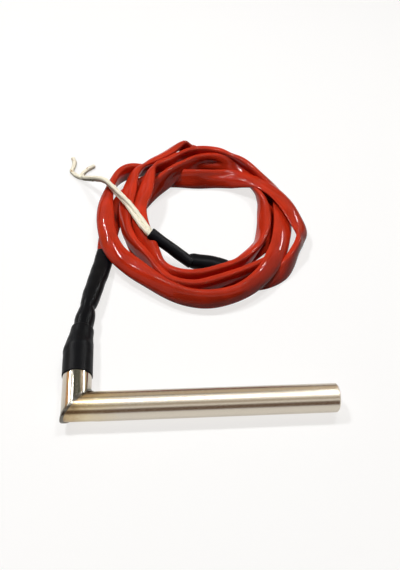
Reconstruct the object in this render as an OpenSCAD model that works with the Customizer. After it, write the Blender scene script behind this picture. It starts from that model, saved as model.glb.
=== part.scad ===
// Cartridge heater with a mitred right-angle lead exit, shrink tubes and a coiled sleeved lead.
// The sheath runs along +X, the short elbow leg along +Y, and the heater lies on the plane z = 0.

/* [Sheath] */
// Outer diameter of the sheath and of the elbow leg
sheath_d = 16; // [14:0.5:25]
// Length from the outer corner of the elbow to the tip
heater_len = 150; // [120:1:250]
// Wall of the sheath and of the elbow leg
sheath_wall = 1; // [0.6:0.1:1.4]
// Chamfer ground on the tip
tip_chamfer = 0.8; // [0.2:0.1:1]
// Thickness of the disc welded into the tip
end_disc_t = 3; // [1.5:0.5:6]
// Dish turned into the outer face of the end disc
end_disc_dish = 0.3; // [0.1:0.1:0.8]
// Start of the ground length, from the crossing of the two axes
ground_from = 12; // [11:0.5:30]
// Depth to which the corner is blended below the ground diameter
blend_depth = 0.2; // [0.2:0.05:0.3]
// Length of the slow taper from the blended corner to the ground diameter
blend_len = 4; // [2:0.5:8]

/* [Elbow] */
// Length of the short leg from the outer corner to its open end
elbow_len = 44; // [40:1:70]
// Width of the weld bead along the mitre
weld_w = 2; // [1:0.1:3]
// Rise of the weld bead above the tubes
weld_h = 0.3; // [0.1:0.05:0.4]
// Length of the potting in the open end
seal_len = 8; // [4:0.5:10]

/* [Heating core] */
// Thickness of compacted magnesia between winding and sheath
fill_wall = 1.5; // [1:0.1:2]
// Diameter of the resistance wire
wire_d = 0.6; // [0.4:0.05:0.8]
// Whole turns of the winding
winding_turns = 30; // [15:1:36]
// Space between the core and the discs at its two ends
core_gap = 3; // [2:0.5:5]
// Thickness of the magnesia wafer behind the end disc
end_spacer_t = 4; // [2:0.5:8]
// Thickness of the ceramic disc at the lead end
plug_t = 5; // [3:0.5:8]
// Diameter of the terminal pins
pin_d = 2; // [1.4:0.1:2.2]
// Length of the short pin inside the core
pin_grip = 17; // [10:1:30]

/* [Splices] */
// Outer diameter of the crimp ferrules
splice_d = 3.4; // [3:0.1:4]
// Length of the crimp ferrules
splice_len = 10; // [6:0.5:14]
// Wall of the glass sleeves over the ferrules
splice_sleeve_wall = 0.3; // [0.2:0.05:0.4]
// Distance from the ferrules to the ceramic disc
splice_gap = 2; // [1:0.5:5]
// Straight run of the leads between the ferrules and the bend
lead_run = 1; // [0.5:0.5:3]
// Bend radius of the leads through the elbow
lead_bend = 8; // [6:0.5:9]

/* [Shrink tubes] */
// Wall of the lower shrink tube on the elbow leg
shrink_wall = 0.4; // [0.3:0.1:1]
// Length of the lower shrink tube that grips the elbow leg
shrink_cover = 17; // [10:1:22]
// Length of the shoulder beyond the open end
shoulder_len = 8; // [6:0.5:12]
// Length of the neck beyond the shoulder
neck_len = 9; // [6:0.5:14]
// Wall of the neck
neck_wall = 0.8; // [0.5:0.1:1.2]
// Angle by which the lead leaves to the side
lead_tilt = 10; // [0:1:12]
// Diameter of the upper shrink tube at its base
upper_shrink_d = 10.8; // [10:0.2:12]
// Diameter of the upper shrink tube at its far end
upper_shrink_tip_d = 9.8; // [9.2:0.2:10.8]
// Length of the upper shrink tube
upper_shrink_len = 66; // [40:1:67]

/* [Lead] */
// Diameter of a lead wire over its glass braid
lead_d = 3; // [2.4:0.1:3]
// Diameter of the bare conductor
conductor_d = 1.6; // [1:0.1:1.8]
// Outer diameter of the red sleeve when round
sleeve_d = 8; // [7:0.1:8]
// Inner diameter of the coil
coil_in_d = 90; // [90:1:100]
// Outer diameter of the coil
coil_out_d = 138; // [120:1:138]
// Height of the coil
coil_h = 18; // [12:0.5:18]
// Wall of the shrink tubes at the sleeve's far end
end_shrink_wall = 1; // [0.6:0.1:1.2]
// Bore of the small shrink tube round the two wires
small_bore_d = 6.7; // [6.6:0.1:7]

/* [Hidden] */
$fn = 96;

// Clearance round pieces that sit in a bore, and the least gap of loose pieces
fit_gap = 0.1;
loose_gap = 0.2;
eps = 0.01;

// Radii and heights that follow from the tubes
sheath_r = sheath_d / 2;
bore_r = sheath_r - sheath_wall;
blend_r = sheath_r - blend_depth;
inner_r = bore_r - fit_gap;
chamfer = min(tip_chamfer, sheath_wall - fit_gap);
shrink_r = sheath_r + fit_gap + shrink_wall;
weld_r = sheath_r + weld_h;
axis_h = max(shrink_r, weld_r);
cut_size = 2 * (heater_len + elbow_len);

// Stations along the sheath, counted from the crossing of the two axes
tip_x = heater_len - sheath_r;
ground_x = max(ground_from, sheath_r + 2 * weld_w);
disc_x = tip_x - end_disc_t;
spacer_x = disc_x - end_spacer_t;
splice_x = lead_bend + lead_run;
plug_x = splice_x + splice_len + splice_gap;
fill_x = plug_x + plug_t;
core_x = fill_x + core_gap;
core_end_x = spacer_x - core_gap;

// Winding on the core: a polygon of wire_steps sides a turn that clears the core at mid side
wire_steps = 12;
core_r = inner_r - fill_wall - wire_d - 4 * fit_gap;
winding_r = (core_r + wire_d / 2 + fit_gap) / cos(180 / wire_steps);
fill_in_r = winding_r + wire_d / 2 + fit_gap;
pin_offset = splice_d / 2 + fit_gap + splice_sleeve_wall + fit_gap;

// Stations along the short leg and along the tilted lead axis that starts at its open end
elbow_end = elbow_len - sheath_r;
neck_in_r = upper_shrink_d / 2 + loose_gap;
neck_r = neck_in_r + neck_wall;
neck_end = shoulder_len + neck_len;
upper_start = shoulder_len + 1;
upper_end = upper_start + upper_shrink_len;
sleeve_in_neck = shoulder_len + 0.5;
sleeve_r = sleeve_d / 2;
sleeve_stub = 6;
sleeve_rings = 5;
lead_dir = [sin(lead_tilt), cos(lead_tilt), 0];
lead_origin = [0, elbow_end, axis_h];

// The origin is the middle of the heater's own box, without the free lead
origin_x = (tip_x - max(shrink_r, weld_r)) / 2;
origin_y = (elbow_end + neck_end * cos(lead_tilt) + neck_r * sin(lead_tilt) - weld_r) / 2;

// The free lead on the table, from the crossing of the two axes, with heights above the table
coil_center = [79, 148];
coil_edge = 6;
large_axis = [112, 5.6];
large_from_x = 68;
large_to_x = 91;
small_from = [65.5, 112.5, 7.5];
small_to = [46, 121.5, 19.3];
sleeve_end_route = [[110, 121, 5.6], [105, 118, 5.6], [100, 115, 5.6], [96, 113, 5.6], [93, 112, 5.6],
    [80, 112, 5.6]];
lead_1_route = [[65, 114.5, 8], [44.5, 124, 20.4], [42.5, 127.5, 20.6], [39, 134, 20.2], [31.5, 151, 20],
    [25, 163, 20], [17.5, 175.5, 19.6], [12, 184.5, 14], [6.5, 193, 7.5], [1, 200, 3], [-0.5, 203, 2],
    [-0.5, 207, 1.7], [2, 211, 1.6], [6, 214.5, 1.6]];
lead_2_route = [[64, 111.5, 8], [41.5, 122, 21.6], [39.5, 125.5, 21.2], [36, 132.5, 20.4], [28.5, 149.5, 20],
    [22, 161.5, 20], [14.5, 174.5, 19.6], [8.5, 183.5, 14], [2.5, 192, 7.5], [-4, 199.5, 3], [-8, 203.5, 2],
    [-10.5, 208, 1.7], [-9.5, 213, 1.6], [-9, 218, 1.6], [-10.5, 224, 1.6]];

// Functions for swept tubes
function unit(v) = v / norm(v);
function tangent(route, i) =
    unit(route[min(i + 1, len(route) - 1)] - route[max(i - 1, 0)]);
function lead_point(s) = lead_origin + s * lead_dir;

// A closed tube swept along a route; the rings turn about the side direction of flat_ref
module swept_tube(route, r, sides, flat_ref = [0, 0, 1]) {
    n = len(route);
    points = [
        for (i = [0 : n - 1])
            let (t = tangent(route, i), u = unit(cross(t, flat_ref)), v = cross(u, t))
                for (k = [0 : sides - 1])
                    route[i] + r * (cos(360 * k / sides) * u + sin(360 * k / sides) * v)
    ];
    walls = [
        for (i = [0 : n - 2], k = [0 : sides - 1])
            let (a = i * sides + k, b = i * sides + (k + 1) % sides)
                each [[a, b, b + sides], [a, b + sides, a + sides]]
    ];
    start_cap = [for (k = [sides - 1 : -1 : 0]) k];
    end_cap = [for (k = [0 : sides - 1]) (n - 1) * sides + k];
    polyhedron(points, concat(walls, [start_cap, end_cap]), convexity = 10);
}

// A closed shell swept through centres with their own directions, inner and outer radii
module shell_tube(centres, dirs, r_in, r_out, sides) {
    n = len(centres);
    points = [
        for (r = [r_out, r_in], i = [0 : n - 1])
            let (u = unit(cross(dirs[i], [0, 0, 1])), v = cross(u, dirs[i]))
                for (k = [0 : sides - 1])
                    centres[i] + r[i] * (cos(360 * k / sides) * u + sin(360 * k / sides) * v)
    ];
    walls = [
        for (i = [0 : n - 2], k = [0 : sides - 1])
            let (a = i * sides + k, b = i * sides + (k + 1) % sides, c = a + n * sides, d = b + n * sides)
                each [[a, b, b + sides], [a, b + sides, a + sides], [d, c, c + sides], [d, c + sides, d + sides]]
    ];
    rims = [
        for (k = [0 : sides - 1])
            let (a = k, b = (k + 1) % sides, last = (n - 1) * sides, in = n * sides)
                each [[b, a, a + in], [b, a + in, b + in], [a + last, b + last, b + last + in],
                    [a + last, b + last + in, a + last + in]]
    ];
    polyhedron(points, concat(walls, rims), convexity = 10);
}

// Moves the crossing of the axes to its place in the part's frame
module placed() translate([-origin_x, -origin_y, 0]) children();

// Turns a shape made along +Z so that it runs along the sheath, the leg or the tilted lead
module along_sheath() placed() translate([0, 0, axis_h]) rotate([0, 90, 0]) children();
module along_leg() placed() translate([0, 0, axis_h]) rotate([-90, 0, 0]) children();
module along_lead() placed() translate(lead_origin) rotate([0, 0, -lead_tilt]) rotate([-90, 0, 0]) children();

// Everything on the sheath's side (-1) or the leg's side (1) of the mitre, set back by a distance
module mitre_side(side, back) {
    shift = side > 0 ? back : -back - cut_size;
    placed() rotate([0, 0, 45]) translate([-cut_size / 2, shift, -cut_size / 2]) cube(cut_size);
}

// A ring-shaped body of revolution between two stations
module ring(from, to, r_in, r_out) {
    rotate_extrude() translate([r_in, from]) square([r_out - r_in, to - from]);
}

// A shrink tube between two points, with edges rolled over by a small chamfer
module tube_between(from, to, r_in, r_out) {
    d = to - from;
    roll = (r_out - r_in) / 3;
    placed() translate(from) rotate([0, 0, atan2(d[1], d[0])]) rotate([0, acos(d[2] / norm(d)), 0])
        rotate_extrude()
            polygon([[r_in, 0], [r_out - roll, 0], [r_out, roll], [r_out, norm(d) - roll],
                [r_out - roll, norm(d)], [r_in, norm(d)]]);
}

module sheath() color("#c9c4ba") intersection() {
    along_sheath() rotate_extrude()
        polygon([[bore_r, -sheath_d], [blend_r, -sheath_d], [blend_r, ground_x - blend_len], [sheath_r, ground_x],
            [sheath_r, tip_x - chamfer], [sheath_r - chamfer, tip_x], [bore_r, tip_x]]);
    mitre_side(-1, weld_w / 2);
}

module end_disc() color("#b5b0a8") along_sheath() rotate_extrude()
    polygon([[0, disc_x], [inner_r, disc_x], [inner_r, tip_x], [inner_r - 1, tip_x],
        [inner_r - 2, tip_x - end_disc_dish], [0, tip_x - end_disc_dish]]);

module end_spacer() color("#ece9df") along_sheath() cylinder_at(spacer_x, disc_x, inner_r);

// A plain cylinder between two stations
module cylinder_at(from, to, r) translate([0, 0, from]) cylinder(h = to - from, r = r);

// The two places of pins, splices and leads, one above the other: 1 is the upper, -1 the lower
module at_pin(row) translate([-row * pin_offset, 0, 0]) children();

module core() color("#f1eee4") along_sheath() difference() {
    cylinder_at(core_x, core_end_x, core_r);
    for (row = [1, -1])
        at_pin(row) cylinder_at(core_x - 1, core_end_x + 1, pin_d / 2 + fit_gap);
}

module winding() {
    rings = (winding_turns + 0.5) * wire_steps;
    from_x = core_x - core_gap / 2;
    to_x = core_end_x + core_gap / 2;
    pin_side = pin_offset + pin_d / 2 + wire_d / 2 + fit_gap;
    helix = [
        for (i = [0 : rings])
            let (a = 90 + 360 * i / wire_steps)
                [from_x + (to_x - from_x) * i / rings, winding_r * cos(a), winding_r * sin(a)]
    ];
    route = concat([[from_x, 0, pin_side]], helix, [[to_x, 0, -pin_side]]);
    color("#8d8378") placed() translate([0, 0, axis_h]) swept_tube(route, wire_d / 2, 6, [1, 0, 0]);
}

module insulation_fill() color("#e4e0d4") along_sheath() ring(fill_x, spacer_x, fill_in_r, inner_r);

module pin(row, end_x) color("#a8a39b") along_sheath() at_pin(row)
    cylinder_at(splice_x + splice_len / 2 + fit_gap, end_x, pin_d / 2);
module pin_1() pin(1, core_x + pin_grip);
module pin_2() pin(-1, core_end_x + core_gap - 1);

module lead_plug() color("#e9e3d2") along_sheath() difference() {
    cylinder_at(plug_x, fill_x, inner_r);
    for (row = [1, -1])
        at_pin(row) cylinder_at(plug_x - 1, fill_x + 1, pin_d / 2 + fit_gap);
}

module splice(row) color("#cfd0cf") along_sheath() at_pin(row)
    ring(splice_x, splice_x + splice_len, pin_d / 2 + fit_gap, splice_d / 2);
module splice_1() splice(1);
module splice_2() splice(-1);

module splice_sleeve(row) color("#efe6c8") along_sheath() at_pin(row)
    ring(splice_x, plug_x, splice_d / 2 + fit_gap, splice_d / 2 + fit_gap + splice_sleeve_wall);
module splice_sleeve_1() splice_sleeve(1);
module splice_sleeve_2() splice_sleeve(-1);

// A lead from its ferrule round the elbow and out into the lead's sleeve
module lead_root(row) color("#f2e8c4") {
    rise = [0, 0, axis_h + row * pin_offset];
    bend = [for (a = [0 : 15 : 90]) lead_bend * [1 - sin(a), 1 - cos(a), 0] + rise];
    from_splice = [[splice_x, 0, 0] + rise];
    mouth = [[0, elbow_end, 0] + rise];
    out = [lead_point(sleeve_in_neck - loose_gap) + [0, 0, row * pin_offset]];
    placed() swept_tube(concat(from_splice, bend, mouth, out), lead_d / 2, 8);
    along_sheath() at_pin(row)
        cylinder_at(splice_x - eps, splice_x + splice_len / 2 - fit_gap, conductor_d / 2);
}
module lead_root_1() lead_root(1);
module lead_root_2() lead_root(-1);

module elbow_tube() color("#d6d2c8") intersection() {
    along_leg() ring(-sheath_d, elbow_end, bore_r, sheath_r);
    mitre_side(1, weld_w / 2);
}

// The bead fills the gap between the two cut tubes and stands a little proud of them
module mitre_weld() color("#9a8f80") {
    for (side = [-1, 1])
        intersection() {
            if (side < 0)
                along_sheath() ring(-2 * sheath_d, 2 * sheath_d, bore_r, weld_r);
            else
                along_leg() ring(-2 * sheath_d, 2 * sheath_d, bore_r, weld_r);
            difference() {
                mitre_side(side, 0);
                mitre_side(side, weld_w / 2);
            }
        }
}

module mouth_seal() color("#d9d4c6") difference() {
    along_leg() cylinder_at(elbow_end - seal_len, elbow_end, inner_r);
    for (row = [1, -1])
        along_leg() translate([0, -row * pin_offset, elbow_end - seal_len - 1])
            cylinder(h = seal_len + 2, r = lead_d / 2 + fit_gap);
}

// Over the leg, then a shoulder, then the tilted neck
module lower_shrink() color("#17191c") placed() shell_tube(
    [lead_origin - [0, shrink_cover, 0], lead_origin, lead_point(shoulder_len), lead_point(neck_end)],
    [[0, 1, 0], [0, 1, 0], lead_dir, lead_dir],
    [sheath_r + fit_gap, sheath_r + fit_gap, neck_in_r, neck_in_r],
    [shrink_r, shrink_r, neck_r, neck_r],
    48);

module upper_shrink() color("#1a1c20") along_lead() rotate_extrude()
    polygon([[sleeve_r + loose_gap, upper_start], [upper_shrink_d / 2, upper_start],
        [upper_shrink_d / 2, neck_end + 6], [upper_shrink_tip_d / 2, neck_end + 24],
        [upper_shrink_tip_d / 2, upper_end], [sleeve_r + loose_gap, upper_end]]);

module sleeve_start() {
    last = upper_end + sleeve_stub;
    route = [
        for (i = [0 : sleeve_rings])
            lead_point(sleeve_in_neck + (last - sleeve_in_neck) * i / sleeve_rings)
    ];
    color("#c0311c") placed() swept_tube(route, sleeve_r, 12);
}

// The coil's outer form, a rounded ring that the turns of the sleeve fill
module sleeve_coil() color("#b92c19") placed() translate([coil_center[0], coil_center[1], 0]) rotate_extrude()
    polygon(concat(
        [for (a = [180 : 15 : 270]) [coil_in_d / 2 + coil_edge * (1 + cos(a)), coil_edge * (1 + sin(a))]],
        [for (a = [270 : 15 : 360]) [coil_out_d / 2 - coil_edge * (1 - cos(a)), coil_edge * (1 + sin(a))]],
        [for (a = [0 : 15 : 90]) [coil_out_d / 2 - coil_edge * (1 - cos(a)), coil_h - coil_edge * (1 - sin(a))]],
        [for (a = [90 : 15 : 180]) [coil_in_d / 2 + coil_edge * (1 + cos(a)), coil_h - coil_edge * (1 - sin(a))]]
    ));

module sleeve_end() color("#c0311c") placed() swept_tube(sleeve_end_route, sleeve_r, 12);

module end_shrink_large() color("#17191c")
    tube_between([large_from_x, large_axis[0], large_axis[1]], [large_to_x, large_axis[0], large_axis[1]],
        sleeve_r + loose_gap, sleeve_r + loose_gap + end_shrink_wall);

module end_shrink_small() color("#17191c")
    tube_between(small_from, small_to, small_bore_d / 2, small_bore_d / 2 + end_shrink_wall / 2);

module lead_tail_1() color("#f4ebcb") placed() swept_tube(lead_1_route, lead_d / 2, 8);
module lead_tail_2() color("#f4ebcb") placed() swept_tube(lead_2_route, lead_d / 2, 8);

sheath();
end_disc();
end_spacer();
core();
winding();
insulation_fill();
pin_1();
pin_2();
lead_plug();
splice_1();
splice_2();
splice_sleeve_1();
splice_sleeve_2();
lead_root_1();
lead_root_2();
elbow_tube();
mitre_weld();
mouth_seal();
lower_shrink();
upper_shrink();
sleeve_start();
sleeve_coil();
sleeve_end();
end_shrink_large();
end_shrink_small();
lead_tail_1();
lead_tail_2();
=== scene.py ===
"""Dresses a right-angle cartridge heater: steel, shrink tubes, a coiled red sleeve and two lead wires."""
import math

import bpy
import numpy as np
from mathutils import Matrix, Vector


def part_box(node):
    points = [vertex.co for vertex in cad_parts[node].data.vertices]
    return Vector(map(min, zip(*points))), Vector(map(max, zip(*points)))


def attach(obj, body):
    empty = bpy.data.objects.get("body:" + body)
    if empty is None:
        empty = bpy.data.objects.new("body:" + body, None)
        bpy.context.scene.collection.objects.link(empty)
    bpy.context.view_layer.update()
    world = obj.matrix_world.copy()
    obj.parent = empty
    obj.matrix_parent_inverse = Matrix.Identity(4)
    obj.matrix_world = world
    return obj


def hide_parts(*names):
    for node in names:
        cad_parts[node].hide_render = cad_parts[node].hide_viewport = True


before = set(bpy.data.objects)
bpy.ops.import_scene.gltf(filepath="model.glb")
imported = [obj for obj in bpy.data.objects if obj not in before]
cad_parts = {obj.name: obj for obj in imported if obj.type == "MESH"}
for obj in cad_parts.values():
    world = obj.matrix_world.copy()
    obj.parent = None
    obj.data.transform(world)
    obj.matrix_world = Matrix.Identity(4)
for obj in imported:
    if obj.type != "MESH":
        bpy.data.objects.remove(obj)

bl_info = {
    "name": "Cartridge Heater",
    "version": (1, 0, 0),
    "blender": (4, 5, 0),
    "location": "3D View > Sidebar > Heater",
    "description": "Builds the looks of a cartridge heater with a coiled sleeved lead",
    "category": "Object",
}

MM = 0.001
FULL_TURN = 2 * math.pi
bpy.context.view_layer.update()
UP = np.array([0.0, 0.0, 1.0])

# The crossing of the sheath's axis and the elbow's axis, on the table, from the solids
SHEATH_BOX = np.array(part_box("sheath"))
ELBOW_BOX = np.array(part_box("elbow_tube"))
CORNER = np.array([ELBOW_BOX[:, 0].mean(), SHEATH_BOX[:, 1].mean(), 0.0])
AXIS_H = SHEATH_BOX[:, 2].mean()
ELBOW_END = ELBOW_BOX[1, 1] - CORNER[1]

# The lead leaves the elbow's mouth to one side by this angle
LEAD_TILT = math.radians(10)
LEAD_ORIGIN = CORNER + np.array([0.0, ELBOW_END, AXIS_H])
LEAD_DIR = np.array([math.sin(LEAD_TILT), math.cos(LEAD_TILT), 0.0])

# Stations along the lead axis from the elbow's mouth, in mm
SHRINK_COVER = 17
NECK_END = 17
UPPER_FROM = 9.2
UPPER_END = 87
SLEEVE_FROM = 8.7

# Routes on the table, in mm from the crossing of the axes
COIL_CENTRE = np.array([79.0, 148.0])
SLEEVE_END_ROUTE = [[107, 112, 5.6], [100, 106, 5.6], [93, 103.8, 5.6], [86, 105.4, 5.7], [79, 107.6, 5.8]]
LARGE_SHRINK = [[92.5, 103.5, 5.6], [67.5, 111, 5.8]]
SMALL_SHRINK = [[70, 107.6, 5.8], [43.5, 122.3, 19.3]]
LEAD_ROUTES = [
    [[64, 112.4, 8.8], [54, 118, 13.9], [44, 123.5, 19.2], [41.5, 127.5, 20.6], [38.5, 134, 20.8],
     [30.5, 149, 21.8], [23, 160, 22.6], [15, 172, 22.2], [9, 181, 17], [3.5, 189.5, 10.4], [-1.5, 197, 5],
     [-3, 201.5, 3.4], [-2, 205.5, 2.1], [1, 210, 1.8], [6, 214.5, 1.8]],
    [[63, 110, 9.4], [52.5, 115.8, 14.7], [42, 121.6, 20.1], [39, 125.5, 21], [36, 132.5, 20.4],
     [29, 149.5, 19.8], [22.3, 161.5, 19.8], [14.7, 174.5, 19.4], [8.7, 183.5, 14], [2.7, 192, 7.5],
     [-4, 199.5, 3], [-8, 203.5, 2.1], [-10.5, 208, 1.8], [-9.5, 213, 1.8], [-9, 218, 1.8],
     [-10.5, 224, 1.8]],
]

# The coil, turn by turn. A row holds the clock angle in degrees, the distance from the coil's middle in mm,
# the height in mm, the lean of the flat sleeve in degrees (0 lies flat, plus lifts the outer edge) and how
# flat it is: 0 is round, 1 has the set width and thickness, and more than FLATTEST counts as FLATTEST.
FLATTEST = 1.3
TURNS = [
    [(202, 69.4, 3.6, 0, 0.6), (196, 66.2, 3.3, 0, 0.9), (187, 62.6, 3.2, 0, 1.1),
     (176, 60.3, 3.1, 0, 1.2), (165, 58.8, 3.2, 8, 1.1), (156, 57.8, 3.6, 24, 1),
     (147, 56.8, 4.4, 40, 1), (138, 55.3, 5.1, 48, 1), (127, 53, 5.8, 52, 1.1),
     (115, 50.3, 6.3, 51, 1.2), (101, 46.4, 6.4, 58, 1.4), (88, 45, 6.5, 62, 1.5),
     (72, 47, 6.8, 57, 1.5), (61, 49.8, 7.6, 47, 1.4), (50, 52, 9.6, 26, 1.1), (42, 53.8, 11.2, 10, 1),
     (32, 55, 13.5, -8, 1.1), (18, 56.5, 15.3, -14, 1.2), (4, 59.5, 15.8, -16, 1.2),
     (355, 62.8, 14.8, -20, 1.2), (349, 66.2, 13.2, -22, 1.2), (346, 68, 12.4, -26, 1.2),
     (343.5, 69.2, 11.2, -42, 1.15), (341, 69.4, 9.8, -75, 1.1), (338, 68.8, 8.4, -95, 1.1),
     (333, 68.2, 7, -85, 1.1), (326, 68.6, 6, -72, 1.1), (317, 69, 5, -60, 1.1),
     (307, 66, 3.6, -30, 1.1), (294, 61, 2.6, 0, 1.2), (270, 60, 2.5, 0, 1.2), (240, 56, 2.5, 0, 1.2),
     (222, 51.5, 2.6, 0, 1.2), (206, 48.5, 2.7, 0, 1.2)],
    [(188, 47, 3, 5, 1.1), (172, 46.5, 3.6, 15, 1), (160, 46, 4.6, 30, 1), (148, 44, 6.5, 50, 1),
     (138, 43, 8.5, 62, 1.1), (127, 43.3, 10, 68, 1.2), (117, 45, 11, 72, 1.2),
     (107, 48.5, 11.5, 74, 1.2), (97, 53, 10.4, 74, 1.3), (88, 58.3, 10.4, 74, 1.3),
     (80, 61.3, 10.3, 72, 1.3), (71, 63, 9.8, 66, 1.3), (61, 62.5, 8.8, 50, 1.3), (52, 60.5, 9, 25, 1),
     (42, 56.5, 8, -10, 1), (30, 51, 8.5, -55, 1), (16, 46, 9.6, -100, 1), (2, 43.8, 10.5, -125, 0.95),
     (350, 43.3, 11, -132, 0.95), (335, 44, 11.2, -128, 0.9), (322, 45.8, 11.2, -115, 1.05),
     (310, 48, 10.8, -100, 1.05), (300, 50.2, 10.5, -92, 1.05), (289, 51.8, 10.3, -90, 1.05),
     (277, 53.8, 10.2, -88, 1.05), (266, 56.8, 10.2, -88, 1.05), (257, 58.8, 10.2, -88, 1.05),
     (249, 59.4, 10.3, -85, 1.05), (242, 58.6, 10.6, -78, 1.05)],
    [(236, 55.8, 11, -68, 0.9), (230, 51.6, 11.8, -60, 0.9), (222, 47.8, 12.8, -52, 0.9),
     (212, 45, 13.8, -46, 0.9), (197, 43.2, 15, -40, 1), (180, 42, 16, -36, 1), (163, 40.5, 17, -30, 1),
     (147, 43, 17.5, -35, 1.1), (140, 45.5, 17.5, -42, 1.05), (135, 48.2, 17.4, -50, 1),
     (129, 52, 16.8, -62, 0.9), (124, 54.6, 15.8, -72, 0.9), (117, 55.6, 14.4, -82, 1),
     (110, 56.6, 13.6, -86, 1.05), (102, 60.2, 13.6, -84, 1.05), (94, 64.2, 13.8, -80, 1.05),
     (87, 66.8, 14, -76, 1), (79, 68, 14, -72, 0.95), (71, 68.2, 14, -68, 0.95),
     (63, 66.6, 13.6, -66, 0.95), (53, 63.8, 14, -62, 1), (43, 62.5, 12, -56, 1),
     (33, 62.5, 10.5, -45, 1), (22, 61.5, 9.8, -36, 1), (8, 58, 10, -25, 1.1), (355, 56.2, 11, -18, 1.2),
     (339, 56.3, 12, -15, 1.2), (326, 58.3, 12.3, -22, 1.2), (315, 61.5, 12, -34, 1.1),
     (305, 65, 11, -45, 1), (296, 68, 10, -52, 0.95), (287, 70.8, 9.2, -57, 0.9),
     (277, 73, 8.8, -60, 0.85), (267, 74, 8.7, -60, 0.85), (257, 73, 8.9, -58, 0.9),
     (247, 70.3, 9.4, -52, 0.95), (236, 67.7, 10, -44, 1.1), (224, 67, 11, -34, 1.1),
     (212, 67.5, 11.5, -28, 1.1)],
    [(202, 66.5, 12, -25, 1.1), (192, 65, 12, -22, 1.1), (180, 64.5, 12, -24, 1),
     (168, 65.8, 11.6, -34, 1), (158, 67.6, 11.2, -55, 1), (149, 69, 10.8, -76, 1),
     (141, 70.2, 10.4, -90, 0.95), (133, 69.2, 9.6, -95, 0.95), (126, 65.4, 8, -76, 1),
     (119, 64.4, 6.6, -50, 1), (110, 65.6, 5.6, -25, 1), (98, 67, 5.5, -15, 1), (85, 67.5, 6, -15, 1),
     (60, 66.5, 5.5, -5, 1), (30, 61.5, 3.2, 0, 1.2), (0, 56.5, 3, 0, 1.2), (335, 57, 3.4, -10, 1.1),
     (323, 58.5, 5, -40, 1), (313, 59.8, 7.6, -72, 1.05), (304, 58.8, 9.2, -88, 1.05),
     (294, 58.6, 9.6, -90, 1.05), (282, 59.8, 9.6, -90, 1.05), (271, 63, 9.6, -90, 1.05),
     (262, 66, 9.6, -90, 1.05), (254, 66.4, 9.6, -90, 1.05), (248, 65.6, 9.8, -90, 1.05),
     (243, 63, 10, -90, 1.05)],
    [(238, 60.4, 10.2, -91, 1.05), (232, 56.8, 10.2, -92, 1.05), (223, 54.2, 10.2, -92, 1.05),
     (211, 53, 10.3, -90, 1.05), (201, 52.4, 10.6, -84, 1.05), (191, 51.8, 11, -70, 1),
     (180, 51, 11.6, -50, 1), (168, 51.3, 12, -38, 1), (157, 53, 12.6, -32, 1.05),
     (146, 56.5, 13, -40, 1), (139, 59.5, 13.3, -56, 0.95), (132, 62, 13.5, -60, 0.85),
     (125, 63, 13.8, -50, 0.85), (118, 63.2, 14.4, -42, 1), (111, 64.2, 15.6, -38, 1.15),
     (104, 66.4, 17.2, -36, 1.3), (100, 68.6, 18.4, -38, 1.3), (97.5, 70.4, 19, -46, 1.3),
     (96, 71, 17.6, -72, 1.3), (94.5, 70, 15, -88, 1.3), (92, 69.2, 12.5, -92, 1.3),
     (87, 69.4, 10.2, -75, 1.1), (72, 69.4, 8.4, -38, 1), (55, 67, 7.6, -15, 1), (38, 60, 5.6, 0, 1),
     (20, 52.5, 3.4, 0, 1.2), (0, 47.5, 3.2, 0, 1.2), (340, 46.5, 3.4, 0, 1.1),
     (322, 45.2, 4.4, 0, 0.7)],
]

# Places where the sleeve is pinched: the turn, the clock angle, the share that it loses there and the spread
# in degrees
PINCHES = [(4, 126, 0.35, 5), (2, 126, 0.35, 4), (4, 95, 0.25, 2), (2, 100, 0.15, 4), (0, 341, 0.20, 2),
           (2, 66, 0.25, 5), (1, 62, 0.25, 5)]

# Dents in one side: the turn, the clock angle, the side from 0 at the outer edge over 90 on top, the depth in
# mm, and the spread along and round in degrees
DENTS = [(0, 66, 60, 1.2, 14, 20), (1, 79, 95, 2.0, 8, 35), (1, 112, 120, 0.8, 7, 30),
         (2, 152, 100, 0.7, 9, 25), (4, 160, 100, 0.7, 9, 25), (0, 22, 100, 0.6, 12, 25)]

# Steps along the sleeve and the wires in m, and the number of sides of each piece's rings
SLEEVE_STEP = 0.0014
WIRE_STEP = 0.0007
SLEEVE_SIDES = 44
LOWER_SIDES = 64
UPPER_SIDES = 56
END_SIDES = 48
WIRE_SIDES = 16

# Walls of the shrink tubes and the lowest height of a soft piece over the table, in m
LOWER_WALL = 0.42 * MM
UPPER_WALL = 0.5 * MM
END_WALL = 0.45 * MM
SLEEVE_LOWEST = 0.0002
LOWER_LOWEST = 0.00002
END_LOWEST = 0.00005

# The sleeve is thinner inside the upper shrink: by what share, up to where along it and over what length in m
THIN_SHARE = 0.2
THIN_END = 0.066
THIN_FADE = 0.02

# How far the heat tint reaches from the weld in m, and the share of it that noise moves
HEAT_REACH = 30 * MM
HEAT_UNEVEN = 0.3

# The braid's strands along a metre and round the wire
BRAID_RATE = 430.0
BRAID_LAY = 4.0

# The floor's radius and the height of its rim in m, and the number of its sides
FLOOR = (4.0, 3.0, 48)
# The floor's glow for the camera, gloss and glass, what the camera's own view adds to it, and the share of
# its colour that it has where it isn't seen and where it is
FLOOR_GLOW = 0.70
CAMERA_GLOW = 0.06
FLOOR_UNSEEN = 0.08
FLOOR_SEEN = 0.30

# The points that the lamps and the cards face, in mm
LAMP_AIM = [75, 110, 0]
CARD_AIM = [67, 0, 8.5]

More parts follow.
